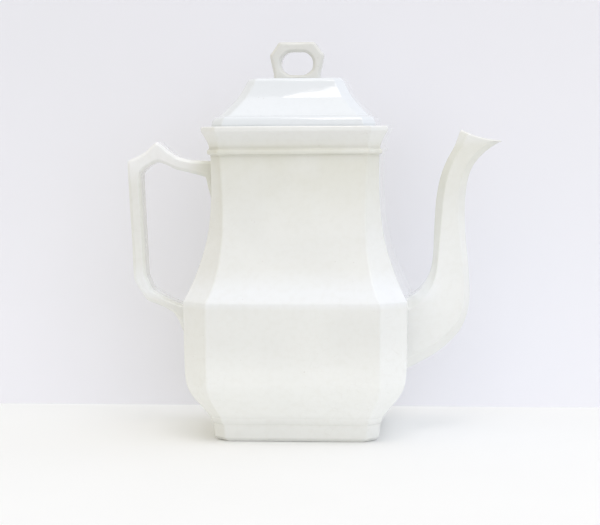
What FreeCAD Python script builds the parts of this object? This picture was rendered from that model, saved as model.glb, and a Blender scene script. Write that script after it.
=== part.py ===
# Coffee pot in white glazed ironstone: a canted square body on a foot, with an upright neck and
# a flared collar, a faceted spout, a strap handle, and a lid with a loop finial.
# Millimetres, +Z up. The origin is the middle of the foot on the table, +X points to the spout
# and -X to the handle. Each piece that a potter makes by itself and lutes on is its own object.
import FreeCAD
import Part
import Sketcher

import os

VEC = FreeCAD.Vector

# Driving sizes of the whole pot.
SIZES = {
    "depth_ratio": 0.96,       # front-to-back size over side-to-side size
    "rim_height": 194.0,       # top of the collar
    "seat_depth": 1.5,         # how far the lid's seat lies below the rim
    "seat_half": 51.8,         # half width of the seat's rebate
    "seat_cant": 7.6,
    "recess_half": 46.0,       # hollow under the foot
    "recess_cant": 6.6,
    "recess_depth": 4.0,
    "hole_radius": 2.3,        # strainer holes behind the spout
    "hole_pitch": 8.6,
    "hole_centre": 61.0,
    "strap_cant": 1.9,         # chamfer along the handle
    "spout_wall": 3.8,
    "bezel_half": 44.2,        # ring under the lid that goes into the mouth
    "bezel_cant": 6.2,
    "bezel_wall": 4.4,
    "bezel_drop": 12.0,
    "vent_radius": 1.6,
    "vent_offset": 22.0,
    "lid_shift": -0.8,         # the loose lid sits a little towards the handle
    "finial_shift": -1.4,      # and its finial is set a little further that way
    "finial_depth": 12.0,
    "finial_cant": 1.6,
    "finial_base": 223.6,      # top of the lid
}

# Levels of the canted square, from the bottom up: name, height, half width, cant.
FOOT_LEVELS = [
    ("foot_edge", 0.0, 49.2, 7.2),
    ("foot_round", 2.2, 51.0, 7.3),
    ("foot_band", 10.9, 52.0, 7.5),
    ("foot_cove", 12.0, 52.4, 7.5),
    ("foot_top", 15.0, 53.7, 7.9),
]
FLOOR_LEVELS = [
    ("floor_low", 9.5, 43.7, 5.4),
    ("floor_high", 15.0, 48.3, 6.4),
]
FLARE_LEVELS = [
    ("flare_start", 15.0, 53.7, 7.9),
    ("flare_low", 20.7, 58.0, 9.9),
    ("flare_high", 28.3, 63.9, 12.8),
    ("belly_low", 35.7, 67.2, 14.4),
    ("flare_end", 45.0, 68.3, 15.3),
]
BELLY_LEVELS = [
    ("belly_round", 45.0, 68.3, 15.3),
    ("shoulder", 87.0, 68.8, 15.8),
]
NECK_LEVELS = [
    ("sweep_start", 87.0, 68.8, 15.8),
    ("sweep_low", 94.0, 65.2, 15.4),
    ("sweep_mid", 102.5, 61.6, 14.2),
    ("sweep_high", 117.0, 56.7, 11.8),
    ("neck_low", 132.0, 53.5, 9.7),
    ("neck_mid", 152.0, 51.8, 7.7),
    ("neck_top", 176.3, 51.8, 6.5),
]
COLLAR_LEVELS = [
    ("bead_low", 176.3, 51.8, 6.5),
    ("bead_round", 177.3, 53.8, 7.0),
    ("bead_high", 179.3, 53.8, 7.0),
    ("groove_low", 180.4, 52.5, 6.9),
    ("groove_high", 182.0, 52.7, 7.0),
    ("cove_low", 185.0, 53.8, 7.6),
    ("cove_high", 188.4, 55.7, 8.8),
    ("lip_low", 190.9, 57.4, 9.8),
    ("lip_high", 193.4, 57.4, 9.8),
    ("rim_edge", 194.0, 56.8, 9.7),
]
# The same levels on the inside of the walls.
INSIDE_LEVELS = [
    ("inside_seam", 15.0, 48.3, 6.4),
    ("inside_flare", 28.3, 57.7, 9.6),
    ("inside_low", 36.0, 62.0, 12.2),
    ("inside_round", 45.0, 63.4, 13.2),
    ("inside_shoulder", 85.0, 63.8, 13.8),
    ("inside_sweep", 101.0, 56.9, 12.2),
    ("inside_high", 117.0, 51.7, 9.7),
    ("inside_neck", 132.0, 48.6, 7.7),
    ("inside_collar", 152.0, 47.1, 6.7),
    ("inside_mouth", 176.3, 46.7, 6.5),
    ("inside_seat", 192.5, 45.3, 6.4),
]
COVER_LEVELS = [
    ("cover_under", 192.8, 50.2, 7.1),
    ("cover_edge", 197.4, 49.9, 7.0),
    ("cover_round", 199.4, 47.8, 6.8),
    ("cover_step", 200.6, 46.0, 6.6),
    ("slope_low", 204.5, 41.9, 6.3),
    ("slope_mid", 209.5, 37.2, 6.0),
    ("slope_break", 212.0, 35.3, 5.8),
    ("panel_top", 222.2, 29.9, 5.3),
    ("top_edge", 223.6, 28.2, 5.0),
]
COVER_INSIDE_LEVELS = [
    ("hollow_mouth", 192.8, 38.6, 5.4),
    ("hollow_low", 200.0, 38.6, 5.4),
    ("hollow_mid", 208.5, 32.2, 4.9),
    ("hollow_top", 218.6, 26.0, 4.3),
]

# Stations along the spout: name, point on the neck side (x, z), point on the far side (x, z),
# half width, cant. The first lies inside the body's wall and the last is the open lip.
SPOUT_STATIONS = [
    ("root_in", 60.0, 84.0, 60.0, 40.8, 18.0, 7.0),
    ("root", 69.2, 85.9, 69.2, 42.0, 18.0, 7.0),
    ("heel", 75.5, 91.0, 84.7, 50.0, 17.4, 6.6),
    ("elbow_low", 79.9, 97.0, 96.7, 60.2, 16.2, 6.0),
    ("elbow_mid", 82.7, 103.8, 103.2, 69.6, 14.8, 5.5),
    ("elbow_high", 84.0, 113.0, 106.7, 83.5, 13.4, 5.1),
    ("stem_low", 84.5, 124.0, 106.4, 104.0, 12.0, 4.8),
    ("stem_mid", 85.1, 137.0, 104.3, 128.5, 10.6, 4.6),
    ("stem_high", 86.3, 150.0, 104.2, 148.2, 9.6, 4.4),
    ("throat_low", 89.0, 162.5, 106.1, 160.8, 8.9, 4.2),
    ("throat_high", 93.1, 172.8, 110.1, 169.8, 8.5, 4.1),
    ("flare", 97.6, 181.0, 117.3, 177.6, 8.4, 4.2),
    ("lip", 101.5, 190.2, 127.7, 183.9, 8.6, 5.2),
]
# Stations along the handle: name, point on the hollow side (x, z), point on the outer side,
# half width. The ends are pointed leaves on the neck and on the belly.
HANDLE_STATIONS = [
    ("upper_tip", -52.6, 134.0, -48.0, 134.0, 1.4),
    ("upper_point", -56.4, 145.5, -48.0, 145.5, 4.6),
    ("upper_leaf", -58.6, 154.5, -48.0, 154.5, 7.2),
    ("upper_bend", -60.0, 162.2, -48.0, 172.0, 8.5),
    ("arm", -69.7, 164.8, -69.7, 172.9, 8.5),
    ("arm_rise", -79.3, 167.1, -78.9, 175.4, 8.5),
    ("thumb_start", -84.9, 170.0, -84.9, 179.6, 8.5),
    ("thumb_peak", -90.1, 171.9, -91.1, 185.2, 8.5),
    ("thumb_end", -95.3, 169.8, -99.1, 177.9, 8.5),
    ("corner_in", -98.9, 167.2, -104.9, 175.0, 8.5),
    ("corner", -101.6, 164.2, -110.5, 172.8, 8.5),
    ("grip_top", -101.2, 152.0, -109.6, 152.0, 8.5),
    ("grip_mid", -100.0, 125.0, -108.2, 125.0, 8.5),
    ("grip_low", -99.0, 99.2, -107.2, 96.6, 8.5),
    ("heel_corner", -95.1, 90.4, -99.2, 83.6, 8.5),
    ("foot_arm", -86.3, 85.1, -88.7, 79.6, 8.5),
    ("foot_bend", -75.7, 80.6, -81.9, 75.8, 8.5),
    ("lower_bend", -66.0, 80.4, -78.6, 70.6, 8.5),
    ("lower_leaf", -66.0, 63.0, -75.4, 62.0, 6.4),
    ("lower_tip", -66.0, 52.5, -70.2, 52.5, 1.4),
]
# Right half of the finial's outline and of its eye, from the bottom up: x, z.
FINIAL_OUTLINE = [
    ("finial_foot", 14.6, 223.6),
    ("finial_waist", 14.8, 226.6),
    ("finial_shoulder", 17.1, 237.2),
    ("finial_notch", 17.1, 239.2),
    ("finial_neck", 15.9, 240.4),
    ("finial_top", 11.3, 246.8),
]
EYE_OUTLINE = [
    ("eye_bottom", 5.0, 225.3),
    ("eye_low", 9.6, 229.4),
    ("eye_high", 9.8, 236.0),
    ("eye_top", 5.8, 240.4),
]


def make_sheet(doc):
    """Put every driving size in one spreadsheet, each cell with an alias."""
    cells = dict(SIZES)
    level_tables = [FOOT_LEVELS, FLOOR_LEVELS, FLARE_LEVELS, BELLY_LEVELS, NECK_LEVELS,
                    COLLAR_LEVELS, INSIDE_LEVELS, COVER_LEVELS, COVER_INSIDE_LEVELS]
    for table in level_tables:
        for name, height, half, cant in table:
            cells[name + "_height"] = height
            cells[name + "_half"] = half
            cells[name + "_cant"] = cant
    for name, near_x, near_z, far_x, far_z, half, cant in SPOUT_STATIONS:
        cells.update(station_cells("spout_" + name, near_x, near_z, far_x, far_z, half))
        cells["spout_" + name + "_cant"] = cant
    for name, near_x, near_z, far_x, far_z, half in HANDLE_STATIONS:
        cells.update(station_cells("handle_" + name, near_x, near_z, far_x, far_z, half))
    for name, across, height in FINIAL_OUTLINE + EYE_OUTLINE:
        cells[name + "_across"] = across
        cells[name + "_height"] = height
    sheet = doc.addObject("Spreadsheet::Sheet", "Sizes")
    for row, (alias, value) in enumerate(cells.items(), start=1):
        sheet.set("A%d" % row, alias)
        sheet.set("B%d" % row, str(value))
        sheet.setAlias("B%d" % row, alias)
    doc.recompute()
    return sheet


def station_cells(name, near_x, near_z, far_x, far_z, half):
    """Cells of one station of the spout or of the handle."""
    return {name + "_near_x": near_x, name + "_near_z": near_z,
            name + "_far_x": far_x, name + "_far_z": far_z, name + "_wide": half}


def origin_plane(body, role):
    """One of a body's own origin planes, by its role."""
    for feature in body.Origin.OriginFeatures:
        if feature.Role == role:
            return feature
    raise RuntimeError("no plane " + role)


def new_sketch(body, name, role):
    """An empty sketch on one of the body's origin planes."""
    sketch = body.newObject("Sketcher::SketchObject", name)
    sketch.AttachmentSupport = [(origin_plane(body, role), "")]
    sketch.MapMode = "FlatFace"
    return sketch


def number(sketch, expression):
    """The plain value of an expression over the sheet."""
    value = sketch.evalExpression(expression)
    return getattr(value, "Value", value)


def closed_outline(sketch, corners):
    """Draw a closed outline whose corners are pairs of expressions for x and y."""
    points = [VEC(number(sketch, x), number(sketch, y), 0) for x, y in corners]
    first = None
    for index, start in enumerate(points):
        end = points[(index + 1) % len(points)]
        line = sketch.addGeometry(Part.LineSegment(start, end), False)
        if first is None:
            first = line
    count = len(points)
    for index in range(count):
        here = first + index
        after = first + (index + 1) % count
        sketch.addConstraint(Sketcher.Constraint("Coincident", here, 2, after, 1))
    for index, (x, y) in enumerate(corners):
        for kind, expression, value in (("DistanceX", x, points[index].x),
                                        ("DistanceY", y, points[index].y)):
            constraint = Sketcher.Constraint(kind, -1, 1, first + index, 1, value)
            handle = sketch.addConstraint(constraint)
            sketch.setExpression("Constraints[%d]" % handle, expression)


def octagon_corners(half_x, half_y, cant):
    """Corners of a rectangle with canted corners, as expressions."""
    long_x = "(%s)" % half_x
    long_y = "(%s)" % half_y
    short_x = "(%s - (%s))" % (long_x, cant)
    short_y = "(%s - (%s))" % (long_y, cant)
    minus = "-%s"
    return [(long_x, minus % short_y), (long_x, short_y),
            (short_x, long_y), (minus % short_x, long_y),
            (minus % long_x, short_y), (minus % long_x, minus % short_y),
            (minus % short_x, minus % long_y), (short_x, minus % long_y)]


def level_sketch(body, name, height, half, cant):
    """A level canted square: half width along X, and that times the depth ratio along Y."""
    sketch = new_sketch(body, body.Name + "_" + name, "XY_Plane")
    sketch.setExpression("AttachmentOffset.Base.z", height)
    if body.Name.startswith("lid"):
        sketch.setExpression("AttachmentOffset.Base.x", "Sizes.lid_shift")
    half_y = "Sizes.depth_ratio * (%s)" % half
    closed_outline(sketch, octagon_corners(half, half_y, cant))
    return sketch


def table_sketches(body, table):
    """One level sketch for each row of a table of levels."""
    sketches = []
    for name, height, half, cant in table:
        sketches.append(level_sketch(body, name, "Sizes.%s_height" % name,
                                     "Sizes.%s_half" % name, "Sizes.%s_cant" % name))
    return sketches


def station_sketch(body, name, cant, inset="0"):
    """A canted rectangle across the path of the spout or handle, square to the X-Z plane."""
    alias = "Sizes." + name
    sketch = new_sketch(body, body.Name + "_" + name, "XY_Plane")
    sketch.AttachmentOffset = FreeCAD.Placement(VEC(0, 0, 0), FreeCAD.Rotation(VEC(0, 1, 0), 10))
    run = "(%s_far_x - %s_near_x)" % (alias, alias)
    drop = "(%s_near_z - %s_far_z)" % (alias, alias)
    sketch.setExpression("AttachmentOffset.Base.x", "(%s_far_x + %s_near_x) / 2" % (alias, alias))
    sketch.setExpression("AttachmentOffset.Base.z", "(%s_far_z + %s_near_z) / 2" % (alias, alias))
    sketch.setExpression("AttachmentOffset.Rotation.Angle", "atan2(%s; %s)" % (drop, run))
    half = "sqrt(%s^2 + %s^2) / 2 - %s" % (run, drop, inset)
    wide = "%s_wide - %s" % (alias, inset)
    closed_outline(sketch, octagon_corners(half, wide, cant))
    return sketch


def loft(body, kind, name, sections, ruled):
    """Loft a body's sections, straight between them or smooth through them."""
    feature = body.newObject("PartDesign::" + kind, name)
    feature.Profile = (sections[0], [""])
    feature.Sections = [(section, [""]) for section in sections[1:]]
    feature.Ruled = ruled
    return feature


def make_pot_base(doc):
    """The foot: a slab with a stepped edge, a dished floor and a hollow underside."""
    body = doc.addObject("PartDesign::Body", "pot_base")
    loft(body, "AdditiveLoft", "foot_form", table_sketches(body, FOOT_LEVELS), True)
    loft(body, "SubtractiveLoft", "floor_dish", table_sketches(body, FLOOR_LEVELS), True)
    recess = [level_sketch(body, "recess_low", "0", "Sizes.recess_half", "Sizes.recess_cant"),
              level_sketch(body, "recess_high", "Sizes.recess_depth",
                           "Sizes.recess_half - 1.2", "Sizes.recess_cant")]
    loft(body, "SubtractiveLoft", "underside", recess, True)
    return body


def add_outer_form(body):
    """The solid outer form from the seam to the rim."""
    loft(body, "AdditiveLoft", body.Name + "_flare", table_sketches(body, FLARE_LEVELS), False)
    loft(body, "AdditiveLoft", body.Name + "_belly", table_sketches(body, BELLY_LEVELS), True)
    loft(body, "AdditiveLoft", body.Name + "_neck", table_sketches(body, NECK_LEVELS), False)
    loft(body, "AdditiveLoft", body.Name + "_collar", table_sketches(body, COLLAR_LEVELS), True)


def make_pot_body(doc):
    """The walls: belly, neck and collar, with the lid's seat and the strainer holes."""
    body = doc.addObject("PartDesign::Body", "pot_body")
    add_outer_form(body)
    loft(body, "SubtractiveLoft", "inside", table_sketches(body, INSIDE_LEVELS), True)
    seat = [level_sketch(body, "seat_low", "Sizes.rim_height - Sizes.seat_depth",
                         "Sizes.seat_half", "Sizes.seat_cant"),
            level_sketch(body, "seat_high", "Sizes.rim_height",
                         "Sizes.seat_half + 0.2", "Sizes.seat_cant")]
    loft(body, "SubtractiveLoft", "seat", seat, True)
    strainer = new_sketch(body, "strainer_holes", "YZ_Plane")
    strainer.setExpression("AttachmentOffset.Base.z", "Sizes.shoulder_half")
    add_hole(strainer, "0", "Sizes.hole_centre")
    for step in range(6):
        turn = 60 * step + 30
        add_hole(strainer, "Sizes.hole_pitch * cos(%d)" % turn,
                 "Sizes.hole_centre + Sizes.hole_pitch * sin(%d)" % turn)
    doc.recompute()
    before = body.Shape.Volume
    pocket = body.newObject("PartDesign::Pocket", "strainer")
    pocket.Profile = (strainer, [""])
    pocket.setExpression("Length", "Sizes.shoulder_half / 2")
    doc.recompute()
    if body.Shape.Volume > before - 100.0:
        raise RuntimeError("the strainer holes cut nothing")
    return body


def add_hole(sketch, across, height):
    """A round hole in a sketch, its centre and radius bound to the sheet."""
    centre = VEC(number(sketch, across), number(sketch, height), 0)
    circle = sketch.addGeometry(Part.Circle(centre, VEC(0, 0, 1), 2.0), False)
    radius = sketch.addConstraint(Sketcher.Constraint("Radius", circle, 2.0))
    sketch.setExpression("Constraints[%d]" % radius, "Sizes.hole_radius")
    for kind, expression, value in (("DistanceX", across, centre.x), ("DistanceY", height, centre.y)):
        constraint = Sketcher.Constraint(kind, -1, 1, circle, 3, value)
        handle = sketch.addConstraint(constraint)
        sketch.setExpression("Constraints[%d]" % handle, expression)


def cut_to_wall(doc, name, piece, form):
    """The piece cut off where it meets the outside of the pot's walls."""
    cut = doc.addObject("Part::Cut", name)
    cut.Base = piece
    cut.Tool = form
    return cut


def make_spout(doc, form):
    """The spout: an octagonal tube that narrows as it rises and opens in a beak."""
    body = doc.addObject("PartDesign::Body", "spout_form")
    outer = []
    inner = []
    for name, *sizes in SPOUT_STATIONS:
        cant = "Sizes.spout_%s_cant" % name
        outer.append(station_sketch(body, "spout_" + name, cant))
    loft(body, "AdditiveLoft", "spout_outside", outer, False)
    for name, *sizes in SPOUT_STATIONS:
        cant = "0.72 * Sizes.spout_%s_cant" % name
        inner.append(station_sketch(body, "spout_" + name, cant, "Sizes.spout_wall"))
    loft(body, "SubtractiveLoft", "spout_channel", inner, False)
    return cut_to_wall(doc, "spout", body, form)


def make_handle(doc, form):
    """The handle: a flat strap with chamfered edges, from the neck out, down and back."""
    body = doc.addObject("PartDesign::Body", "handle_form")
    sections = []
    for name, *sizes in HANDLE_STATIONS:
        cant = "min(Sizes.strap_cant; 0.4 * Sizes.handle_%s_wide)" % name
        sections.append(station_sketch(body, "handle_" + name, cant))
    loft(body, "AdditiveLoft", "strap", sections, True)
    return cut_to_wall(doc, "handle", body, form)


def make_lid_cover(doc):
    """The lid: a hollow hipped cover with a flat top and a small steam vent."""
    body = doc.addObject("PartDesign::Body", "lid_cover")
    loft(body, "AdditiveLoft", "cover_form", table_sketches(body, COVER_LEVELS), True)
    hollow = table_sketches(body, COVER_INSIDE_LEVELS)
    loft(body, "SubtractiveLoft", "cover_hollow", hollow, True)
    doc.recompute()
    vent = new_sketch(body, "vent_hole", "XY_Plane")
    vent.setExpression("AttachmentOffset.Base.z", "Sizes.finial_base")
    circle = vent.addGeometry(Part.Circle(VEC(-20, 0, 0), VEC(0, 0, 1), 1.0), False)
    radius = vent.addConstraint(Sketcher.Constraint("Radius", circle, 1.0))
    vent.setExpression("Constraints[%d]" % radius, "Sizes.vent_radius")
    across = vent.addConstraint(Sketcher.Constraint("DistanceX", -1, 1, circle, 3, -20.0))
    vent.setExpression("Constraints[%d]" % across, "-Sizes.vent_offset")
    vent.addConstraint(Sketcher.Constraint("PointOnObject", circle, 3, -1))
    doc.recompute()
    before = body.Shape.Volume
    pocket = body.newObject("PartDesign::Pocket", "vent")
    pocket.Profile = (vent, [""])
    pocket.Length = 12
    doc.recompute()
    if body.Shape.Volume > before - 10.0:
        raise RuntimeError("the vent cut nothing")
    return body


def make_lid_flange(doc):
    """The bezel: a canted square ring under the lid that keeps it in the mouth."""
    body = doc.addObject("PartDesign::Body", "lid_flange")
    top = "Sizes.cover_under_height"
    low = "Sizes.cover_under_height - Sizes.bezel_drop"
    outside = [level_sketch(body, "ring_low", low, "Sizes.bezel_half - 1.0", "Sizes.bezel_cant"),
               level_sketch(body, "ring_top", top, "Sizes.bezel_half", "Sizes.bezel_cant")]
    loft(body, "AdditiveLoft", "ring", outside, True)
    half = "Sizes.bezel_half - Sizes.bezel_wall"
    cant = "Sizes.bezel_cant - 0.4"
    inside = [level_sketch(body, "bore_low", low, half, cant),
              level_sketch(body, "bore_top", top, half, cant)]
    loft(body, "SubtractiveLoft", "ring_bore", inside, True)
    return body


def mirrored_outline(rows):
    """Corners of an outline symmetric about the middle, from the rows of its right half."""
    right = []
    left = []
    for name, across, height in rows:
        right.append(("Sizes.finial_shift + Sizes.%s_across" % name, "Sizes.%s_height" % name))
        left.insert(0, ("Sizes.finial_shift - Sizes.%s_across" % name, "Sizes.%s_height" % name))
    return right + left


def make_lid_finial(doc):
    """The finial: a flat loop with chamfered edges that stands on the lid."""
    body = doc.addObject("PartDesign::Body", "lid_finial")
    sketch = new_sketch(body, "loop_outline", "XZ_Plane")
    closed_outline(sketch, mirrored_outline(FINIAL_OUTLINE))
    closed_outline(sketch, mirrored_outline(EYE_OUTLINE))
    pad = body.newObject("PartDesign::Pad", "loop")
    pad.Profile = (sketch, [""])
    pad.SideType = "Symmetric"
    pad.setExpression("Length", "Sizes.finial_depth")
    doc.recompute()
    edges = []
    for index, edge in enumerate(pad.Shape.Edges, start=1):
        box = edge.BoundBox
        flat = box.YLength < 0.01
        if flat and box.ZMax > number(sketch, "Sizes.finial_base") + 0.1:
            edges.append("Edge%d" % index)
    chamfer = body.newObject("PartDesign::Chamfer", "loop_edges")
    chamfer.Base = (pad, edges)
    chamfer.setExpression("Size", "Sizes.finial_cant")
    return body


def check(doc, nodes):
    """Stop if any object failed or any piece isn't one valid solid."""
    for item in doc.Objects:
        if "Invalid" in item.State or "Error" in item.State:
            raise RuntimeError("%s failed: %s" % (item.Name, item.State))
    for node in nodes:
        shape = node.Shape
        if shape.isNull() or not shape.isValid():
            raise RuntimeError(node.Label + " has no valid shape")
        if len(shape.Solids) != 1:
            raise RuntimeError("%s has %d solids" % (node.Label, len(shape.Solids)))


def main():
    doc = FreeCAD.newDocument("coffee_pot")
    make_sheet(doc)
    form = doc.addObject("PartDesign::Body", "outer_form")
    add_outer_form(form)
    nodes = [make_pot_base(doc), make_pot_body(doc), make_spout(doc, form),
             make_handle(doc, form), make_lid_cover(doc), make_lid_flange(doc),
             make_lid_finial(doc)]
    doc.recompute()
    check(doc, nodes)
    os.makedirs("parts", exist_ok=True)
    for node in nodes:
        node.Shape.exportStep("parts/%s.step" % node.Label)
        box = node.Shape.BoundBox
        print(node.Label, round(node.Shape.Volume), [round(v, 1) for v in (
            box.XMin, box.XMax, box.YMin, box.YMax, box.ZMin, box.ZMax)])


main()
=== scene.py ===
import math

import bmesh
import bpy
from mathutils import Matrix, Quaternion, Vector, noise


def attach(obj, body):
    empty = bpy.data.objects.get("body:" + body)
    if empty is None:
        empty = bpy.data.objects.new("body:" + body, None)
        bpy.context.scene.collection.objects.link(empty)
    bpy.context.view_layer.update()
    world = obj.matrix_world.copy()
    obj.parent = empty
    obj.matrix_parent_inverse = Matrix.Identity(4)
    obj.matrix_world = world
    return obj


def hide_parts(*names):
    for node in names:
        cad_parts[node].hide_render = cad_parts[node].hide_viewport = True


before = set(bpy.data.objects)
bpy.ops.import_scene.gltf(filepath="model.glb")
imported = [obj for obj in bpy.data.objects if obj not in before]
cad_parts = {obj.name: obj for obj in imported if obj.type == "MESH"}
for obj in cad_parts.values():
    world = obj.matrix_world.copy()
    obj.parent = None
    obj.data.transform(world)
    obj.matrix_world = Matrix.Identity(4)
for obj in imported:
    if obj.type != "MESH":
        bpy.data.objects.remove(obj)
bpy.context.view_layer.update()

MM = 0.001

# The camera stands in front, a little to the right, at the height of the rim. Metres, and
# millimetres for the lens.
CAMERA_DISTANCE = 1.100
CAMERA_HEIGHT = 0.1923
CAMERA_YAW = math.radians(5.0)
CAMERA_PITCH = math.radians(4.43)
CAMERA_ROLL = math.radians(-0.4)
CAMERA_LENS = 103.6
CAMERA_SHIFT = -0.0022

# Light from the room: above the horizon, above it on the left, and below it.
ROOM_ABOVE = (0.94, 0.97, 1.05, 1.0)
ROOM_ABOVE_LEFT = (0.80, 0.76, 0.65, 1.0)
ROOM_BELOW = (0.50, 0.49, 0.47, 1.0)

# Lamps: name, position, width, height, watts, colour. Metres. They all point at the pot's middle.
LAMP_TARGET = (0.0, 0.0, 0.12)
LAMPS = [
    ("window", (0.125, -0.69, 1.56), 0.50, 0.42, 2.3, (1.0, 0.93, 0.90)),
    ("low", (0.4, -1.6, 0.25), 1.2, 0.8, 1.1, (0.85, 0.85, 1.0)),
    ("over", (0.0, -0.25, 1.7), 1.2, 0.7, 2.0, (0.97, 0.97, 1.0)),
    ("right", (1.0, -1.0, 1.3), 0.8, 0.8, 2.1, (1.0, 0.97, 0.88)),
]

# The stage, in metres, and its colours.
TABLE_FRONT = -0.34        # the table's front edge
TABLE_SIDE = 1.1           # half the table's and the wall's width
WALL_DISTANCE = 0.092      # from the pot's axis back to the wall
WALL_HEIGHT = 1.6
TABLE_COLOURS = ((0.905, 0.905, 0.895, 1.0), (0.92, 0.92, 0.91, 1.0))
WALL_COLOURS = ((0.895, 0.895, 0.935, 1.0), (0.91, 0.905, 0.95, 1.0))

# A cast piece is slightly wavy. Each wave's length and height are in metres.
SLOW_WAVE = (0.034, 0.00016)
QUICK_WAVE = (0.013, 0.00004)

# Glazes: light and shaded colour, colour of pooled glaze and painted shade in hollows,
# strength of the stain with painted shade below the rim, greatest roughness.
POT_GLAZE = ((0.86, 0.865, 0.83, 1.0), (0.83, 0.835, 0.80, 1.0), (0.57, 0.53, 0.41, 1.0), 0.50, 0.12)
LID_GLAZE = ((0.815, 0.842, 0.862, 1.0), (0.795, 0.826, 0.846, 1.0), (0.60, 0.61, 0.60, 1.0), 0.0, 0.07)
# The finial's darker glaze is painted shade.
FINIAL_GLAZE_PAINTED_SHADE = ((0.775, 0.775, 0.735, 1.0), (0.745, 0.745, 0.70, 1.0), (0.56, 0.54, 0.46, 1.0), 0.0, 0.14)

# Colours the pot's glaze takes on: a stain that is also painted shade, and painted light.
STAIN_WITH_PAINTED_SHADE = (0.72, 0.71, 0.57, 1.0)
RIM_PAINTED_LIGHT = (0.885, 0.89, 0.865, 1.0)
SHOULDER_PAINTED_LIGHT = (0.915, 0.935, 0.95, 1.0)
HANDLE_TOP_PAINTED_LIGHT = (0.93, 0.935, 0.935, 1.0)
FLARE_PAINTED_BOUNCE_LIGHT = (0.94, 0.95, 0.92, 1.0)

# Colours of every glaze's cracks and specks.
CRACK_BROWN = (0.42, 0.36, 0.27, 1.0)
SPECK_BROWN = (0.34, 0.28, 0.20, 1.0)

# Sizes in millimetres. Levels are height, half width and cant of a canted square.
DEPTH_RATIO = 0.96         # depth over width
LID_SHIFT = -0.8           # the lid sits a little towards the handle
FINIAL_SHIFT = -1.4
FINIAL_HALF_DEPTH = 6.0
FINIAL_CANT = 1.6
STRAP_CANT = 1.9
SPOUT_WALL = 3.8
LIP_WALL = 2.5
LIP_DIP = 1.3              # how far the spout's lip sinks between its corners
LIP_ROWS = 8               # rows over which the spout takes on its lip's shape
ROOT_SWELL = 0.7           # slip round the spout's root
ROOT_START = 68.4
ROOT_FADE = 5.0

# Rounding of the spout's lip, from outside to inside: inset, distance ahead.
LIP_ROUNDING = [
    (0.0, -1.1),
    (0.25, -0.5),
    (0.7, -0.1),
    (1.25, 0.0),
    (1.8, -0.1),
    (2.25, -0.5),
    (2.5, -1.2),
]

# Holes: centre, then distance along the hole and radius at each step of its profile.
HOLE_SIDES = 24
STRAINER_CENTRE = (63.8, 0.0, 61.0)
STRAINER_RING = 8.6
STRAINER_PROFILE = [(-3.0, 3.9), (-0.5, 3.0), (0.1, 2.5), (0.9, 2.3), (9.0, 2.3)]
VENT_CENTRE = (-22.0, 0.0, 223.6)
VENT_PROFILE = [(-7.0, 1.6), (-0.8, 1.6), (-0.3, 1.8), (0.1, 2.3), (0.9, 3.2)]

FOOT_LEVELS = [
    (0.0, 49.2, 7.2),
    (2.2, 51.0, 7.3),
    (10.7, 51.8, 7.5),
    (11.2, 52.4, 7.5),
    (15.0, 53.7, 7.9),
]
FLOOR_LEVELS = [
    (15.0, 48.3, 6.4),
    (9.5, 43.7, 5.4),
    (9.2, 6.0, 0.8),
]
UNDERSIDE_LEVELS = [
    (4.2, 6.0, 0.8),
    (4.0, 44.8, 6.6),
    (0.0, 46.0, 6.6),
]
FLARE_LEVELS = [
    (15.0, 53.7, 7.9),
    (20.7, 58.0, 9.9),
    (28.3, 63.9, 12.8),
    (35.7, 67.2, 14.4),
    (45.0, 68.3, 15.3),
]
NECK_LEVELS = [
    (87.0, 68.8, 15.8),
    (94.0, 65.2, 15.4),
    (102.5, 61.6, 14.2),
    (117.0, 56.7, 11.8),
    (132.0, 53.5, 9.7),
    (152.0, 51.8, 7.7),
    (176.3, 51.8, 6.5),
]
COLLAR_LEVELS = [
    (176.3, 51.8, 6.5),
    (177.3, 53.8, 7.0),
    (179.3, 53.8, 7.0),
    (180.4, 52.5, 6.9),
    (182.0, 52.7, 7.0),
    (185.0, 53.8, 7.6),
    (188.4, 55.7, 8.8),
    (190.9, 57.4, 9.8),
    (193.4, 57.4, 9.8),
    (194.0, 56.8, 9.7),
]
SEAT_LEVELS = [
    (194.0, 52.0, 7.6),
    (192.5, 51.8, 7.6),
    (192.5, 45.3, 6.4),
]
INSIDE_LEVELS = [
    (176.3, 46.7, 6.5),
    (152.0, 47.1, 6.7),
    (132.0, 48.6, 7.7),
    (117.0, 51.7, 9.7),
    (101.0, 56.9, 12.2),
    (85.0, 63.8, 13.8),
    (45.0, 63.4, 13.2),
    (36.0, 62.0, 12.2),
    (28.3, 57.7, 9.6),
    (15.0, 48.3, 6.4),
]
SEAM_MIDDLE = (14.2, 51.0, 7.2)    # where the walls' skin closes, out of sight
SKIRT = (14.2, 53.3, 7.8)          # the walls reach a little way into the foot
COVER_LEVELS = [
    (223.7, 3.0, 0.5),
    (223.6, 28.4, 5.0),
    (222.0, 30.0, 5.3),
    (219.6, 31.0, 5.4),
    (217.0, 32.3, 5.5),
    (214.5, 33.7, 5.6),
    (212.0, 35.3, 5.8),
    (209.5, 37.2, 6.0),
    (204.5, 41.9, 6.3),
    (200.8, 45.7, 6.6),
    (200.1, 46.1, 6.6),
    (200.2, 47.0, 6.7),
    (199.3, 48.7, 6.9),
    (197.6, 49.8, 7.0),
    (195.2, 50.5, 7.1),
    (192.8, 50.5, 7.1),
    (192.8, 38.6, 5.4),
    (200.0, 38.6, 5.4),
    (208.5, 32.2, 4.9),
    (218.6, 26.0, 4.3),
    (218.6, 3.0, 0.5),
]
FLANGE_LEVELS = [
    (192.8, 42.0, 6.0),
    (192.8, 44.2, 6.2),
    (180.8, 43.2, 6.2),
    (180.8, 38.8, 5.8),
    (192.8, 39.8, 5.8),
    (192.8, 42.0, 6.0),
]

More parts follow.
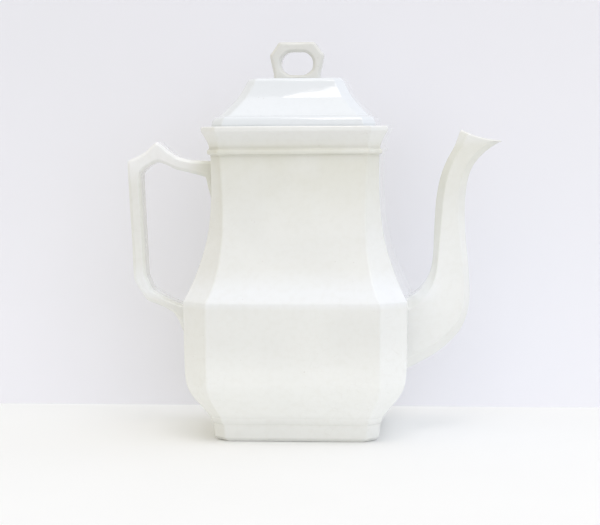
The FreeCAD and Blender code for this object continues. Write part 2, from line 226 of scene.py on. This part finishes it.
# Stations: x and z on the near side, x and z on the far side, half width, and the spout's cant.
SPOUT_STATIONS = [
    (66.0, 85.4, 66.0, 41.2, 18.6, 7.0),
    (69.2, 85.9, 69.2, 42.0, 18.0, 7.0),
    (75.5, 91.0, 84.7, 50.0, 17.4, 6.6),
    (79.9, 97.0, 96.7, 60.2, 16.2, 6.0),
    (82.7, 103.8, 103.2, 69.6, 14.8, 5.5),
    (84.0, 113.0, 106.7, 83.5, 13.4, 5.1),
    (84.5, 124.0, 106.4, 104.0, 12.0, 4.8),
    (85.1, 137.0, 104.3, 128.5, 10.6, 4.6),
    (86.3, 150.0, 104.2, 148.2, 9.6, 4.4),
    (89.0, 162.5, 106.1, 160.8, 8.9, 4.2),
    (93.1, 172.8, 110.1, 169.8, 8.5, 4.1),
    (97.6, 181.0, 117.3, 177.6, 8.4, 4.2),
    (101.3, 191.2, 127.1, 184.1, 8.6, 5.2),
]
HANDLE_STATIONS = [
    (-52.6, 134.0, -50.4, 134.0, 1.4),
    (-56.4, 145.5, -50.0, 145.5, 4.6),
    (-58.6, 154.5, -50.0, 154.5, 7.2),
    (-60.0, 162.2, -50.0, 172.0, 8.5),
    (-69.7, 164.8, -69.7, 172.9, 8.5),
    (-79.3, 167.1, -78.9, 175.4, 8.5),
    (-84.9, 170.0, -84.9, 179.6, 8.5),
    (-90.1, 171.9, -91.1, 185.2, 8.5),
    (-95.3, 169.8, -99.1, 177.9, 8.5),
    (-98.9, 167.2, -104.9, 175.0, 8.5),
    (-101.6, 164.2, -110.5, 172.8, 8.5),
    (-101.2, 152.0, -109.6, 152.0, 8.5),
    (-100.0, 125.0, -108.2, 125.0, 8.5),
    (-99.0, 99.2, -107.2, 96.6, 8.5),
    (-95.1, 90.4, -99.2, 83.6, 8.5),
    (-86.3, 85.1, -88.7, 79.6, 8.5),
    (-75.7, 80.6, -81.9, 75.8, 8.5),
    (-66.0, 80.4, -78.6, 70.6, 8.5),
    (-66.0, 63.0, -75.4, 62.0, 6.4),
    (-66.6, 52.5, -70.2, 52.5, 1.4),
]

# Right half of the finial's outline and of its eye, from the bottom up: x, z.
FINIAL_OUTLINE = [
    (14.9, 223.0),
    (14.8, 226.6),
    (17.1, 237.2),
    (17.1, 239.2),
    (15.9, 240.4),
    (11.3, 246.8),
]
EYE_OUTLINE = [
    (5.0, 226.1),
    (9.9, 229.6),
    (10.1, 236.0),
    (6.0, 240.4),
]
FINIAL_CENTRE_HEIGHT = 232.8
FINIAL_STEPS = 144


def blended(first, second, share):
    """A row of numbers part of the way between two rows."""
    return tuple(a + (b - a) * share for a, b in zip(first, second))


def gap(first, second):
    """How far apart two rows of numbers are."""
    return math.sqrt(sum((a - b) ** 2 for a, b in zip(first, second)))


def smooth_run(rows, steps=8):
    """Rows along a smooth curve through the given rows."""
    padded = [rows[0]] + list(rows) + [rows[-1]]
    result = []
    for index in range(1, len(padded) - 2):
        around = padded[index - 1:index + 3]
        for step in range(steps):
            t = step / steps
            row = []
            for p, q, r, s in zip(*around):
                bend = (2 * p - 5 * q + 4 * r - s) * t * t
                twist = (3 * q - p - 3 * r + s) * t ** 3
                row.append(0.5 * (2 * q + (r - p) * t + bend + twist))
            result.append(tuple(row))
    result.append(tuple(rows[-1]))
    return result


def soften(rows, reach):
    """Rows with every corner rounded over about the given reach, as thick glaze rounds it."""
    spacing = reach / 3
    dense = [tuple(rows[0])]
    for start, end in zip(rows, rows[1:]):
        steps = max(1, math.ceil(gap(start, end) / spacing))
        for step in range(1, steps + 1):
            dense.append(blended(start, end, step / steps))
    for turn in range(9):
        middle = []
        for a, b, c in zip(dense, dense[1:], dense[2:]):
            middle.append(tuple((p + q + r) / 3 for p, q, r in zip(a, b, c)))
        dense = [dense[0]] + middle + [dense[-1]]
    return dense


def thin_out(rows, longest=4.5, bend=0.08):
    """Fewer rows: close together only where the line bends."""
    kept = [rows[0]]
    turned = 0.0
    for before, here, after in zip(rows, rows[1:], rows[2:]):
        come = Vector(here[:2]) - Vector(before[:2])
        leave = Vector(after[:2]) - Vector(here[:2])
        if come.length > 1e-6 and leave.length > 1e-6:
            turned += come.angle(leave)
        if turned > bend or gap(kept[-1], here) > longest:
            kept.append(here)
            turned = 0.0
    kept.append(rows[-1])
    return kept


def rounded_outline(corners, radius, steps=4, long_parts=1, short_parts=1):
    """Points round a closed outline with an arc at each corner and its sides in equal parts."""
    points = []
    corners = [Vector(corner) for corner in corners]
    arcs = []
    for index, corner in enumerate(corners):
        back = corners[index - 1] - corner
        forth = corners[(index + 1) % len(corners)] - corner
        turn = math.pi - back.angle(forth)
        reach = min(radius * math.tan(turn / 2), 0.45 * back.length, 0.45 * forth.length)
        start = corner + back.normalized() * reach
        end = corner + forth.normalized() * reach
        arc = []
        for step in range(steps + 1):
            t = step / steps
            arc.append(start * (1 - t) ** 2 + corner * (2 * t * (1 - t)) + end * t * t)
        arcs.append(arc)
    for index, arc in enumerate(arcs):
        points.extend(arc)
        target = arcs[(index + 1) % len(arcs)][0]
        parts = long_parts if index % 2 == 0 else short_parts
        for part in range(1, parts):
            points.append(arc[-1].lerp(target, part / parts))
    return points


def canted_square(half_x, half_y, cant, radius, long_parts=14, short_parts=3):
    """Points round a rectangle with canted corners. It starts with the side towards +X."""
    short_x = half_x - cant
    short_y = half_y - cant
    corners = [(half_x, -short_y), (half_x, short_y), (short_x, half_y), (-short_x, half_y),
               (-half_x, short_y), (-half_x, -short_y), (-short_x, -half_y), (short_x, -half_y)]
    return rounded_outline(corners, radius, 4, long_parts, short_parts)


def level_ring(row, radius, shift=0.0):
    """The ring of points at one level."""
    height, half, cant = row
    ring = []
    for x, y in canted_square(half, half * DEPTH_RATIO, cant, radius):
        ring.append(Vector((x + shift, y, height)))
    return ring


def station_ring(row, radius, inset=0.0, dip=0.0, ahead=0.0):
    """The ring of points across a spout or strap, square to the X-Z plane."""
    near_x, near_z, far_x, far_z, half_wide, cant = row
    near = Vector((near_x, 0.0, near_z))
    far = Vector((far_x, 0.0, far_z))
    across = (far - near).normalized()
    onward = across.cross(Vector((0.0, 1.0, 0.0)))
    half = (far - near).length / 2 - inset
    wide = half_wide - inset
    middle = (near + far) / 2
    ring = []
    for a, b in canted_square(half, wide, cant, radius, 6, 3):
        drop = ahead - dip * (1 - (a / half) ** 2)
        ring.append(middle + across * a + Vector((0.0, b, 0.0)) + onward * drop)
    return ring


def skin(name, rings, closed=False, caps=True):
    """A mesh object over rings that all have the same number of points."""
    mesh = bmesh.new()
    rows = []
    for ring in rings:
        rows.append([mesh.verts.new(point * MM) for point in ring])
    pairs = list(zip(rows, rows[1:]))
    if closed:
        pairs.append((rows[-1], rows[0]))
    count = len(rows[0])
    for low, high in pairs:
        for index in range(count):
            after = (index + 1) % count
            mesh.faces.new((low[index], low[after], high[after], high[index]))
    if caps and not closed:
        mesh.faces.new(list(reversed(rows[0])))
        mesh.faces.new(rows[-1])
    bmesh.ops.recalc_face_normals(mesh, faces=mesh.faces)
    return finished(name, mesh)


def finished(name, mesh):
    """A linked object from a bmesh, smooth, with the slight waviness of a cast piece."""
    mesh.normal_update()
    moves = []
    for vert in mesh.verts:
        rise = 0.0
        for length, height in (SLOW_WAVE, QUICK_WAVE):
            rise += height * noise.noise(vert.co / length)
        moves.append(vert.normal * rise)
    for vert, move in zip(mesh.verts, moves):
        vert.co += move
        vert.co.z = max(vert.co.z, 0.0)
    data = bpy.data.meshes.new(name)
    mesh.to_mesh(data)
    mesh.free()
    for face in data.polygons:
        face.use_smooth = True
    piece = bpy.data.objects.new(name, data)
    bpy.context.scene.collection.objects.link(piece)
    return piece


def flat_faces_flat(piece):
    """Shade broad faces flat and only the rounded edges between them as curved."""
    modifier = piece.modifiers.new("broad_faces", "WEIGHTED_NORMAL")
    modifier.weight = 50
    modifier.keep_sharp = True


def bore(piece, centres, axis, profile):
    """Cut round holes with softened mouths through a piece."""
    cutter = bmesh.new()
    for centre in centres:
        turn = Vector((0.0, 0.0, 1.0)).rotation_difference(axis)
        rows = []
        for along, radius in profile:
            row = []
            for step in range(HOLE_SIDES):
                angle = 2 * math.pi * step / HOLE_SIDES
                spoke = Vector((radius * math.cos(angle), radius * math.sin(angle), along))
                spoke.rotate(turn)
                row.append(cutter.verts.new((centre + spoke) * MM))
            rows.append(row)
        for low, high in zip(rows, rows[1:]):
            for index in range(HOLE_SIDES):
                after = (index + 1) % HOLE_SIDES
                cutter.faces.new((low[index], low[after], high[after], high[index]))
        cutter.faces.new(list(reversed(rows[0])))
        cutter.faces.new(rows[-1])
    bmesh.ops.recalc_face_normals(cutter, faces=cutter.faces)
    data = bpy.data.meshes.new("cutter")
    cutter.to_mesh(data)
    cutter.free()
    tool = bpy.data.objects.new("cutter", data)
    bpy.context.scene.collection.objects.link(tool)
    modifier = piece.modifiers.new("holes", "BOOLEAN")
    modifier.operation = "DIFFERENCE"
    modifier.solver = "EXACT"
    modifier.object = tool
    bpy.context.view_layer.update()
    graph = bpy.context.evaluated_depsgraph_get()
    bored = bpy.data.meshes.new_from_object(piece.evaluated_get(graph))
    piece.modifiers.clear()
    piece.data = bored
    bpy.data.objects.remove(tool)
    for face in bored.polygons:
        face.use_smooth = True


def make_foot():
    """The foot with its stepped edge, dished floor and hollow underside."""
    rows = soften(UNDERSIDE_LEVELS + FOOT_LEVELS + FLOOR_LEVELS, 0.6)
    rings = [level_ring(row, 2.0) for row in thin_out(rows)]
    return skin("foot", rings)


def make_body():
    """The walls: flare, belly, neck, collar and rim, and the inside down to the seam."""
    outside = [SKIRT] + smooth_run(FLARE_LEVELS) + smooth_run(NECK_LEVELS) + COLLAR_LEVELS[1:]
    rows = [SEAM_MIDDLE] + outside + SEAT_LEVELS + INSIDE_LEVELS + [SEAM_MIDDLE]
    rows = thin_out(soften(rows, 0.55))
    rings = [level_ring(row, 2.2) for row in rows[:-1]]
    body = skin("body", rings, closed=True)
    middle = Vector(STRAINER_CENTRE)
    holes = [middle]
    for step in range(6):
        angle = math.radians(60 * step + 30)
        across = Vector((0.0, math.cos(angle), math.sin(angle)))
        holes.append(middle + across * STRAINER_RING)
    bore(body, holes, Vector((1.0, 0.0, 0.0)), STRAINER_PROFILE)
    return body


def make_spout():
    """The faceted spout: outside, rounded lip and the channel back down."""
    rows = thin_out(smooth_run(SPOUT_STATIONS), 3.0)
    last = len(rows) - 1
    outside = []
    inside = []
    for index, row in enumerate(rows[:-1]):
        nearness = max(0.0, 1 - (last - index) / LIP_ROWS)
        dip = LIP_DIP * nearness ** 2
        swell = ROOT_SWELL * max(0.0, 1 - max(0.0, row[0] - ROOT_START) / ROOT_FADE) ** 2
        outside.append(station_ring(row, 1.6, inset=-swell, dip=dip))
        wall = SPOUT_WALL + (LIP_WALL - SPOUT_WALL) * nearness
        inner = row[:5] + (0.72 * row[5],)
        inside.append(station_ring(inner, 1.4, inset=wall, dip=dip))
    lip = []
    for inset, ahead in LIP_ROUNDING:
        lip.append(station_ring(rows[-1], 1.6, inset=inset, dip=LIP_DIP, ahead=ahead))
    rings = outside + lip + inside[::-1]
    return skin("pouring_spout", rings, closed=True)


def make_handle():
    """The strap handle, with a leaf-shaped end on the neck and another on the belly."""
    rows = []
    for station in HANDLE_STATIONS:
        cant = min(STRAP_CANT, 0.4 * station[4])
        rows.append(station + (cant,))
    rows = thin_out(soften(rows, 2.2), 3.0)
    rings = [station_ring(row, 1.3) for row in rows]
    return skin("strap_handle", rings)


def make_cover():
    """The lid's hipped cover with its steam vent."""
    rows = thin_out(soften(COVER_LEVELS, 0.6))
    rings = [level_ring(row, 2.0, LID_SHIFT) for row in rows]
    cover = skin("cover", rings)
    bore(cover, [Vector(VENT_CENTRE)], Vector((0.0, 0.0, 1.0)), VENT_PROFILE)
    return cover


def make_flange():
    """The ring under the lid that keeps it in the mouth."""
    rows = thin_out(soften(FLANGE_LEVELS, 0.5))
    rings = [level_ring(row, 2.0, LID_SHIFT) for row in rows[:-1]]
    return skin("locating_ring", rings, closed=True)


def both_sides(rows):
    """A closed outline from the rows of its right half."""
    left = [(-x, z) for x, z in reversed(rows)]
    return list(rows) + left


def reach_to(outline, angle):
    """How far the outline is from the eye's centre in one direction."""
    aim = Vector((math.cos(angle), math.sin(angle)))
    for index, start in enumerate(outline):
        end = outline[(index + 1) % len(outline)]
        side = end - start
        spread = aim.x * side.y - aim.y * side.x
        if abs(spread) < 1e-9:
            continue
        far = (start.x * side.y - start.y * side.x) / spread
        share = (start.x * aim.y - start.y * aim.x) / spread
        if far > 0 and -1e-6 <= share <= 1 + 1e-6:
            return far
    raise RuntimeError("the outline doesn't close round its centre")


def make_finial():
    """The loop finial: a flat ring with an oval eye and softened edges."""
    raised = []
    for outline, radius in ((FINIAL_OUTLINE, 1.2), (EYE_OUTLINE, 7.0)):
        corners = [(x, z - FINIAL_CENTRE_HEIGHT) for x, z in both_sides(outline)]
        raised.append(rounded_outline(corners, radius, 6))
    outer, eye = raised
    rings = []
    depth = FINIAL_HALF_DEPTH
    cant = FINIAL_CANT
    middle = Vector((FINIAL_SHIFT, 0.0, FINIAL_CENTRE_HEIGHT))
    for step in range(FINIAL_STEPS):
        angle = 2 * math.pi * step / FINIAL_STEPS
        aim = Vector((math.cos(angle), 0.0, math.sin(angle)))
        start = reach_to(eye, angle)
        end = reach_to(outer, angle)
        corners = [(end, -depth + cant), (end, depth - cant), (end - cant, depth),
                   (start + cant, depth), (start, depth - cant), (start, -depth + cant),
                   (start + cant, -depth), (end - cant, -depth)]
        ring = []
        for reach, y in rounded_outline(corners, 1.2, 3, 3, 1):
            ring.append(middle + aim * reach + Vector((0.0, y, 0.0)))
        rings.append(ring)
    return skin("loop_finial", rings, closed=True)


def ramp(tree, source, low, high, first, second):
    """A colour that goes from first to second as the source goes from low to high."""
    node = tree.nodes.new("ShaderNodeValToRGB")
    node.color_ramp.elements[0].position = low
    node.color_ramp.elements[0].color = first
    node.color_ramp.elements[1].position = high
    node.color_ramp.elements[1].color = second
    tree.links.new(source, node.inputs["Fac"])
    return node.outputs["Color"]


def mixed(tree, share, first, second):
    """Two colours mixed by a share that is a number or another node's output."""
    node = tree.nodes.new("ShaderNodeMix")
    node.data_type = "RGBA"
    if isinstance(share, float):
        node.inputs["Factor"].default_value = share
    else:
        tree.links.new(share, node.inputs["Factor"])
    for socket, colour in ((node.inputs[6], first), (node.inputs[7], second)):
        if isinstance(colour, tuple):
            socket.default_value = colour
        else:
            tree.links.new(colour, socket)
    return node.outputs[2]


def ranged(tree, source, low, high, first, second):
    """A number that goes from first to second as the source goes from low to high."""
    node = tree.nodes.new("ShaderNodeMapRange")
    node.inputs["From Min"].default_value = low
    node.inputs["From Max"].default_value = high
    node.inputs["To Min"].default_value = first
    node.inputs["To Max"].default_value = second
    tree.links.new(source, node.inputs["Value"])
    return node.outputs["Result"]


def product(tree, first, second):
    """Two numbers multiplied."""
    node = tree.nodes.new("ShaderNodeMath")
    node.operation = "MULTIPLY"
    for socket, value in zip(node.inputs, (first, second)):
        if isinstance(value, float):
            socket.default_value = value
        else:
            tree.links.new(value, socket)
    return node.outputs[0]


def noise_at(tree, spot, scale, detail=2.0):
    """Noise of a given number of features per metre."""
    node = tree.nodes.new("ShaderNodeTexNoise")
    node.inputs["Scale"].default_value = scale
    node.inputs["Detail"].default_value = detail
    tree.links.new(spot, node.inputs["Vector"])
    return node.outputs["Fac"]


def cells_at(tree, spot, scale, feature):
    """Distance in a field of cells: to the nearest centre or to the nearest border."""
    node = tree.nodes.new("ShaderNodeTexVoronoi")
    node.feature = feature
    node.inputs["Scale"].default_value = scale
    tree.links.new(spot, node.inputs["Vector"])
    return node.outputs["Distance"]


def painted_light_shade_and_stain(tree, spot, colour, stain_and_shade_strength):
    """The pot's changes of colour: a stain with painted shade up the neck, and painted light on the rim,
    shoulder, handle top and flare.

    Heights, and places along the pot from handle to spout, are in metres.
    """
    parts = tree.nodes.new("ShaderNodeSeparateXYZ")
    tree.links.new(spot, parts.inputs["Vector"])
    along = parts.outputs["X"]
    height = parts.outputs["Z"]
    # A stain that is also painted shade: an olive cloud growing up the neck, fading on the collar and
    # faint by the handle.
    cloud = ranged(tree, noise_at(tree, spot, 32.0, 2.0), 0.35, 0.6, 0.5, 1.0)
    stain_and_shade = product(tree, cloud, ranged(tree, height, 0.120, 0.178, 0.0, stain_and_shade_strength))
    stain_and_shade = product(tree, stain_and_shade, ranged(tree, height, 0.180, 0.186, 1.0, 0.35))
    stain_and_shade = product(tree, stain_and_shade, ranged(tree, along, -0.072, -0.058, 0.15, 1.0))
    colour = mixed(tree, stain_and_shade, colour, STAIN_WITH_PAINTED_SHADE)
    # Painted light: lighter from the collar's cove up to the rim.
    rim_painted_light = ranged(tree, height, 0.1815, 0.1912, 0.0, 0.9)
    colour = mixed(tree, rim_painted_light, colour, RIM_PAINTED_LIGHT)
    # Painted light: a pale band just above the shoulder's ridge, fading out by the spout.
    shoulder_painted_light = product(tree, ranged(tree, height, 0.083, 0.0885, 0.0, 0.75),
                       ranged(tree, height, 0.094, 0.108, 1.0, 0.0))
    shoulder_painted_light = product(tree, shoulder_painted_light, ranged(tree, along, 0.072, 0.090, 1.0, 0.0))
    colour = mixed(tree, shoulder_painted_light, colour, SHOULDER_PAINTED_LIGHT)
    # Painted light on the handle's top.
    handle_top_painted_light = product(tree, ranged(tree, height, 0.158, 0.170, 0.0, 0.8),
                         ranged(tree, along, -0.072, -0.062, 1.0, 0.0))
    colour = mixed(tree, handle_top_painted_light, colour, HANDLE_TOP_PAINTED_LIGHT)
    # Painted light from the table on the flare, fading up the belly.
    flare_painted_light = product(tree, ranged(tree, height, 0.012, 0.017, 0.0, 1.0),
                     ranged(tree, height, 0.017, 0.062, 0.85, 0.0))
    return mixed(tree, flare_painted_light, colour, FLARE_PAINTED_BOUNCE_LIGHT)


def pooled_glaze_and_painted_shade(tree, colour, pooled_and_shade_colour):
    """The colour darkened in corners and grooves: partly glaze run there, partly painted shade."""
    hollow = tree.nodes.new("ShaderNodeAmbientOcclusion")
    hollow.inputs["Distance"].default_value = 0.0022
    hollow.samples = 8
    hollow.only_local = True
    depth = ranged(tree, hollow.outputs["AO"], 0.4, 0.95, 0.9, 0.0)
    return mixed(tree, depth, colour, pooled_and_shade_colour)


def crazed(tree, spot, colour):
    """The colour with patches of faint hairline cracks."""
    cracks = cells_at(tree, spot, 190.0, "DISTANCE_TO_EDGE")
    line = ranged(tree, cracks, 0.0, 0.02, 1.0, 0.0)
    patch = ranged(tree, noise_at(tree, spot, 14.0), 0.5, 0.62, 0.0, 0.09)
    return mixed(tree, product(tree, line, patch), colour, CRACK_BROWN)


def specked(tree, spot, colour):
    """The colour with a few small brown specks."""
    dots = cells_at(tree, spot, 240.0, "F1")
    chosen = ranged(tree, noise_at(tree, spot, 75.0), 0.58, 0.62, 0.0, 0.35)
    speck = product(tree, ranged(tree, dots, 0.04, 0.08, 1.0, 0.0), chosen)
    return mixed(tree, speck, colour, SPECK_BROWN)


def bump(tree, height, strength, distance):
    """A bump node over a height."""
    node = tree.nodes.new("ShaderNodeBump")
    node.inputs["Strength"].default_value = strength
    node.inputs["Distance"].default_value = distance
    tree.links.new(height, node.inputs["Height"])
    return node


def glaze(name, light, shade, pooled_and_shade_colour, stain_and_shade_strength, dullest):
    """Glossy glaze over ironstone: drift, stain, painted light and shade, pooling, crazing, specks,
    ripples.
    """
    material = bpy.data.materials.new(name)
    material.use_nodes = True
    tree = material.node_tree
    shader = tree.nodes["Principled BSDF"]
    shader.inputs["IOR"].default_value = 1.5
    shader.inputs["Coat Weight"].default_value = 0.5
    shader.inputs["Coat Roughness"].default_value = 0.03
    shader.inputs["Coat IOR"].default_value = 1.5
    spot = tree.nodes.new("ShaderNodeTexCoord").outputs["Object"]
    drift = noise_at(tree, spot, 22.0, 3.0)
    colour = ramp(tree, drift, 0.35, 0.65, shade, light)
    # On the pot: a stain that is also painted shade, and painted light.
    if stain_and_shade_strength > 0.0:
        colour = painted_light_shade_and_stain(tree, spot, colour, stain_and_shade_strength)
    mottle = noise_at(tree, spot, 260.0, 2.0)
    colour = mixed(tree, ranged(tree, mottle, 0.45, 0.7, 0.0, 0.05), colour, pooled_and_shade_colour)
    # Pooled glaze and painted shade in corners and grooves.
    colour = pooled_glaze_and_painted_shade(tree, colour, pooled_and_shade_colour)
    colour = crazed(tree, spot, colour)
    colour = specked(tree, spot, colour)
    tree.links.new(colour, shader.inputs["Base Color"])
    sheen = noise_at(tree, spot, 55.0, 4.0)
    roughness = ranged(tree, sheen, 0.3, 0.7, 0.4 * dullest, dullest)
    tree.links.new(roughness, shader.inputs["Roughness"])
    ripple = bump(tree, noise_at(tree, spot, 330.0, 2.0), 0.35, 0.00003)
    sag = bump(tree, noise_at(tree, spot, 70.0, 1.0), 0.5, 0.00012)
    tree.links.new(ripple.outputs["Normal"], sag.inputs["Normal"])
    tree.links.new(sag.outputs["Normal"], shader.inputs["Normal"])
    return material


def matte(name, colours, scale):
    """A pale dull surface that drifts between two colours."""
    material = bpy.data.materials.new(name)
    material.use_nodes = True
    tree = material.node_tree
    shader = tree.nodes["Principled BSDF"]
    shader.inputs["Roughness"].default_value = 0.7
    shader.inputs["Specular IOR Level"].default_value = 0.2
    spot = tree.nodes.new("ShaderNodeTexCoord").outputs["Object"]
    drift = noise_at(tree, spot, scale, 3.0)
    tree.links.new(ramp(tree, drift, 0.3, 0.7, *colours), shader.inputs["Base Color"])
    return material


def see_through_from_behind(material):
    """Let a sheet of the stage be seen from its front only."""
    tree = material.node_tree
    side = tree.nodes.new("ShaderNodeNewGeometry").outputs["Backfacing"]
    clear = tree.nodes.new("ShaderNodeBsdfTransparent")
    blend = tree.nodes.new("ShaderNodeMixShader")
    tree.links.new(side, blend.inputs["Fac"])
    tree.links.new(tree.nodes["Principled BSDF"].outputs["BSDF"], blend.inputs[1])
    tree.links.new(clear.outputs["BSDF"], blend.inputs[2])
    tree.links.new(blend.outputs["Shader"], tree.nodes["Material Output"].inputs["Surface"])


def add_camera():
    """The camera, aimed along its yaw and pitch and rolled a little."""
    data = bpy.data.cameras.new("camera")
    data.sensor_width = 36.0
    data.lens = CAMERA_LENS
    data.shift_x = CAMERA_SHIFT
    data.clip_start = 0.05
    camera = bpy.data.objects.new("camera", data)
    bpy.context.scene.collection.objects.link(camera)
    camera.location = (math.sin(CAMERA_YAW) * CAMERA_DISTANCE,
                       -math.cos(CAMERA_YAW) * CAMERA_DISTANCE, CAMERA_HEIGHT)
    camera.rotation_mode = "QUATERNION"
    back = Vector((math.sin(CAMERA_YAW) * math.cos(CAMERA_PITCH),
                   -math.cos(CAMERA_YAW) * math.cos(CAMERA_PITCH), math.sin(CAMERA_PITCH)))
    aim = (-back).to_track_quat("-Z", "Y")
    camera.rotation_quaternion = aim @ Quaternion((0.0, 0.0, 1.0), CAMERA_ROLL)
    bpy.context.scene.camera = camera


def add_sheet(name, corners, material):
    """A flat stage surface."""
    data = bpy.data.meshes.new(name)
    data.from_pydata(corners, [], [tuple(range(len(corners)))])
    sheet = bpy.data.objects.new(name, data)
    bpy.context.scene.collection.objects.link(sheet)
    data.materials.append(material)
    return sheet


def add_stage():
    """A pale table, and close behind the pot a wall that doesn't shade the pot's back."""
    side = TABLE_SIDE
    near = TABLE_FRONT
    back = WALL_DISTANCE
    top = WALL_HEIGHT
    table = matte("table_top", TABLE_COLOURS, 6.0)
    see_through_from_behind(table)
    add_sheet("table", [(-side, near, 0), (side, near, 0), (side, back, 0), (-side, back, 0)], table)
    wall = matte("wall_paint", WALL_COLOURS, 4.0)
    see_through_from_behind(wall)
    corners = [(-side, back, 0), (side, back, 0), (side, back, top), (-side, back, top)]
    backdrop = add_sheet("wall", corners, wall)
    backdrop.visible_diffuse = False
    backdrop.visible_shadow = False


def add_light(name, position, width, height, watts, colour):
    """A rectangular lamp that points at the pot."""
    data = bpy.data.lights.new(name, "AREA")
    data.shape = "RECTANGLE"
    data.size = width
    data.size_y = height
    data.energy = watts
    data.color = colour
    lamp = bpy.data.objects.new(name, data)
    bpy.context.scene.collection.objects.link(lamp)
    lamp.location = position
    lamp.rotation_mode = "QUATERNION"
    lamp.rotation_quaternion = (Vector(LAMP_TARGET) - Vector(position)).to_track_quat("-Z", "Y")


def add_room():
    """Even light all round, warmer and dimmer from the left and from below the horizon."""
    world = bpy.data.worlds.new("room")
    world.use_nodes = True
    tree = world.node_tree
    aim = tree.nodes.new("ShaderNodeTexCoord").outputs["Generated"]
    parts = tree.nodes.new("ShaderNodeSeparateXYZ")
    tree.links.new(aim, parts.inputs["Vector"])
    sideways = ranged(tree, parts.outputs["X"], -0.6, 0.1, 0.0, 1.0)
    above = mixed(tree, sideways, ROOM_ABOVE_LEFT, ROOM_ABOVE)
    share = ranged(tree, parts.outputs["Z"], -0.2, 0.15, 0.0, 1.0)
    colour = mixed(tree, share, ROOM_BELOW, above)
    tree.links.new(colour, tree.nodes["Background"].inputs["Color"])
    bpy.context.scene.world = world


def add_lights():
    """Soft daylight from above and the right, over an evenly lit room."""
    add_room()
    for lamp in LAMPS:
        add_light(*lamp)


def register(piece, body, material, nodes):
    """Give a piece its material and flat broad faces, put it on its body, and hide the CAD nodes it
    stands for.
    """
    piece.data.materials.clear()
    piece.data.materials.append(material)
    flat_faces_flat(piece)
    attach(piece, body)
    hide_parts(*nodes)


def main():
    """The whole scene: camera, stage, lights and the seven pieces."""
    add_camera()
    bpy.context.scene.view_settings.view_transform = "Standard"
    add_stage()
    add_lights()
    warm = glaze("pot_glaze", *POT_GLAZE)
    cool = glaze("lid_glaze", *LID_GLAZE)
    # The finial's darker glaze is painted shade.
    finial_painted_shade = glaze("finial_glaze_painted_shade", *FINIAL_GLAZE_PAINTED_SHADE)
    register(make_foot(), "pot", warm, ["pot_base"])
    register(make_body(), "pot", warm, ["pot_body"])
    register(make_spout(), "pot", warm, ["spout"])
    register(make_handle(), "pot", warm, ["handle"])
    register(make_cover(), "lid", cool, ["lid_cover"])
    register(make_flange(), "lid", cool, ["lid_flange"])
    register(make_finial(), "lid", finial_painted_shade, ["lid_finial"])


main()
